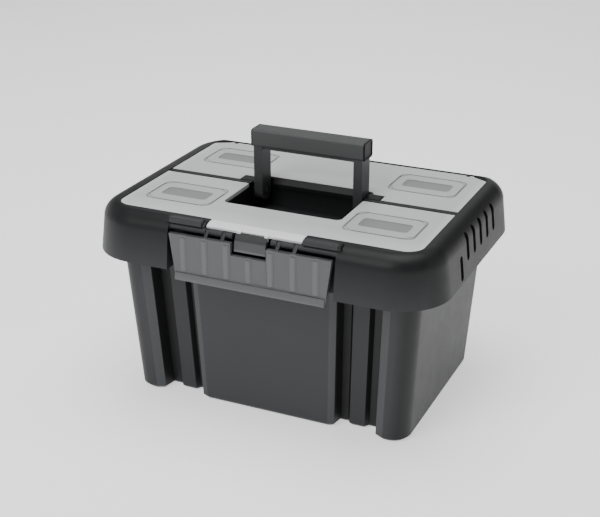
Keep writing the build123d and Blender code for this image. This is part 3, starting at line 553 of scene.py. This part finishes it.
def skirt_painted_light(tree, vector, colour, height):
    """Painted light toward the skirt's bottom edge, painted shade toward its top and at its ends, and a
    painted highlight on the bar over the latch.
    """
    rise = axis_of(tree, vector, "Z")
    # Painted light low on the skirt, painted shade high on it and at its ends
    skirt_painted_shading = spread_of(tree, rise, skirt_low, skirt_high, skirt_low_painted_light, skirt_high_painted_shade)
    out = size_of(tree, axis_of(tree, vector, "X"))
    ends = spread_of(tree, out, skirt_end - skirt_end_fade, skirt_end, 1.0, skirt_end_painted_shade)
    # Painted highlight on the hinge bar and its blocks
    bar_half_size = (bar_half_length, bar_half_depth)
    bar_highlight = patch(tree, flattened(tree, vector), (0, bar_middle_y), bar_half_size, pad_corner)
    bar_highlight = product(tree, bar_highlight, spread_of(tree, rise, bar_low - patch_edge, bar_low, 0.0, 1.0))
    return scaled(tree, colour, product(tree, skirt_painted_shading, ends, toned(tree, bar_highlight, bar_painted_highlight))), height


def catch_painted_light(tree, vector, colour, height):
    """Painted shade on the top and a painted highlight along the lower edge."""
    rise = axis_of(tree, vector, "Z")
    # Painted shade on the top, painted highlight on the lower edge
    top_painted_shade = step_at(tree, rise, catch_top, 1.0, catch_top_painted_shade)
    edge_painted_highlight = step_at(tree, rise, catch_edge, catch_edge_painted_highlight, 1.0)
    return scaled(tree, colour, product(tree, top_painted_shade, edge_painted_highlight)), height


def moulded(name, colour, roughness, grain=900.0, grain_height=0.05, shade=0.1, rub=0.1, gloss=0.5,
            painted_light_and_pattern=None):
    """Injection-moulded plastic of one colour, with painted light and shade on it where they are given,
    and the covers' pattern with them.
    """
    material, tree, shader = new_material(name)
    effect = tree.nodes.new("ShaderNodeGroup")
    effect.node_tree = moulded_group
    vector = object_vector(tree)
    tree.links.new(vector, effect.inputs["Vector"])
    effect.inputs["Color"].default_value = (*colour, 1)
    effect.inputs["Shade"].default_value = shade
    effect.inputs["Roughness"].default_value = roughness
    effect.inputs["Grain Scale"].default_value = grain
    effect.inputs["Rub"].default_value = rub
    colour_out = effect.outputs["Color"]
    height_out = effect.outputs["Height"]
    if painted_light_and_pattern:
        colour_out, height_out = painted_light_and_pattern(tree, vector, colour_out, height_out)
    tree.links.new(colour_out, shader.inputs["Base Color"])
    tree.links.new(effect.outputs["Roughness"], shader.inputs["Roughness"])
    bump = tree.nodes.new("ShaderNodeBump")
    bump.inputs["Strength"].default_value = grain_height
    bump.inputs["Distance"].default_value = grain_depth
    tree.links.new(height_out, bump.inputs["Height"])
    tree.links.new(bump.outputs["Normal"], shader.inputs["Normal"])
    shader.inputs["Specular IOR Level"].default_value = gloss
    return material


def ground_steel(name):
    """Ground steel rod with fine lines round it."""
    material, tree, shader = new_material(name)
    stretch = tree.nodes.new("ShaderNodeMapping")
    stretch.inputs["Scale"].default_value = steel_stretch
    tree.links.new(object_vector(tree), stretch.inputs["Vector"])
    lines = add_noise(tree, stretch.outputs["Vector"], steel_line_scale, detail=4.0)
    roughness = spread_of(tree, lines, *steel_line_span, *steel_roughness)
    tree.links.new(roughness, shader.inputs["Roughness"])
    shader.inputs["Base Color"].default_value = (*steel_colour, 1)
    shader.inputs["Metallic"].default_value = 1.0
    return material


def pale_floor(name):
    """Pale studio floor that glows a little, so that shadows stay soft."""
    material, tree, shader = new_material(name)
    tone = add_noise(tree, object_vector(tree), floor_tone_scale)
    tree.links.new(spread_of(tree, tone, 0.0, 1.0, *floor_roughness), shader.inputs["Roughness"])
    shader.inputs["Base Color"].default_value = (*floor_colour, 1)
    shader.inputs["Emission Color"].default_value = (*floor_colour, 1)
    shader.inputs["Emission Strength"].default_value = floor_glow
    return material


plastics = {
    "bin_plastic": dict(colour=(0.031, 0.032, 0.034), roughness=0.48, grain_height=0.22, shade=0.12,
                        gloss=0.30, painted_light_and_pattern=bin_painted_light),
    "lid_plastic": dict(colour=(0.020, 0.0205, 0.022), roughness=0.45, grain_height=0.22, shade=0.12,
                        gloss=0.22, painted_light_and_pattern=skirt_painted_light),
    "cover_plastic": dict(colour=(0.53, 0.535, 0.545), roughness=0.45, grain_height=0.12, shade=0.05,
                          rub=0.06, painted_light_and_pattern=cover_pattern_and_painted_light),
    "latch_plastic": dict(colour=(0.088, 0.090, 0.094), roughness=0.42, grain_height=0.14, shade=0.08,
                          gloss=0.4, painted_light_and_pattern=latch_painted_light),
    "catch_plastic": dict(colour=(0.075, 0.076, 0.079), roughness=0.45, grain_height=0.14, gloss=0.3,
                          painted_light_and_pattern=catch_painted_light),
    "handle_plastic": dict(colour=(0.050, 0.051, 0.053), roughness=0.45, grain_height=0.18, gloss=0.3),
    "grip_plastic": dict(colour=(0.048, 0.053, 0.052), roughness=0.55, grain=1400.0, grain_height=0.30),
    "cap_plastic": dict(colour=(0.005, 0.005, 0.006), roughness=0.45, grain_height=0.10, gloss=0.15),
    "tray_plastic": dict(colour=(0.030, 0.031, 0.033), roughness=0.40, grain_height=0.10),
    "divider_plastic": dict(colour=(0.26, 0.26, 0.27), roughness=0.42, grain_height=0.10),
}
finishes = {name: moulded(name, **look) for name, look in plastics.items()}
finishes["pin_steel"] = ground_steel("pin_steel")


def node_slot(node):
    """Material slot that the record gives a node."""
    entries = frame["record"]["subparts"]
    return next(entry["material_slot"] for entry in entries if entry["node"] == node)


def finish_cad_nodes():
    """Give every carried-over node its finish."""
    for node, piece in frame["nodes"].items():
        piece.data.materials.clear()
        piece.data.materials.append(finishes[node_slot(node)])


# Mouldings with softened edges

def softened(node, body, width):
    """Copy of a node, merged, with its sharp edges rounded, that takes the node's place."""
    mesh = frame["nodes"][node].data.copy()
    piece = bpy.data.objects.new(node + "_moulding", mesh)
    bpy.context.collection.objects.link(piece)
    make_active(piece)
    bpy.ops.object.mode_set(mode="EDIT")
    bpy.ops.mesh.select_all(action="SELECT")
    bpy.ops.mesh.customdata_custom_splitnormals_clear()
    bpy.ops.mesh.remove_doubles(threshold=merge_distance)
    bpy.ops.object.mode_set(mode="OBJECT")
    edges = piece.modifiers.new("edges", "BEVEL")
    edges.width = width
    edges.segments = edge_segments
    edges.limit_method = "ANGLE"
    edges.angle_limit = edge_angle
    edges.miter_outer = "MITER_ARC"
    bpy.ops.object.modifier_apply(modifier="edges")
    bpy.ops.object.shade_smooth_by_angle(angle=smooth_angle)
    normals = piece.modifiers.new("normals", "WEIGHTED_NORMAL")
    normals.keep_sharp = True
    bpy.ops.object.modifier_apply(modifier="normals")
    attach(piece, body)
    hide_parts(node)


place_camera()
light_studio()
add_floor(pale_floor("floor_finish"))
finish_cad_nodes()
for moulding_node, (moulding_body, edge_width) in mouldings.items():
    softened(moulding_node, moulding_body, edge_width)
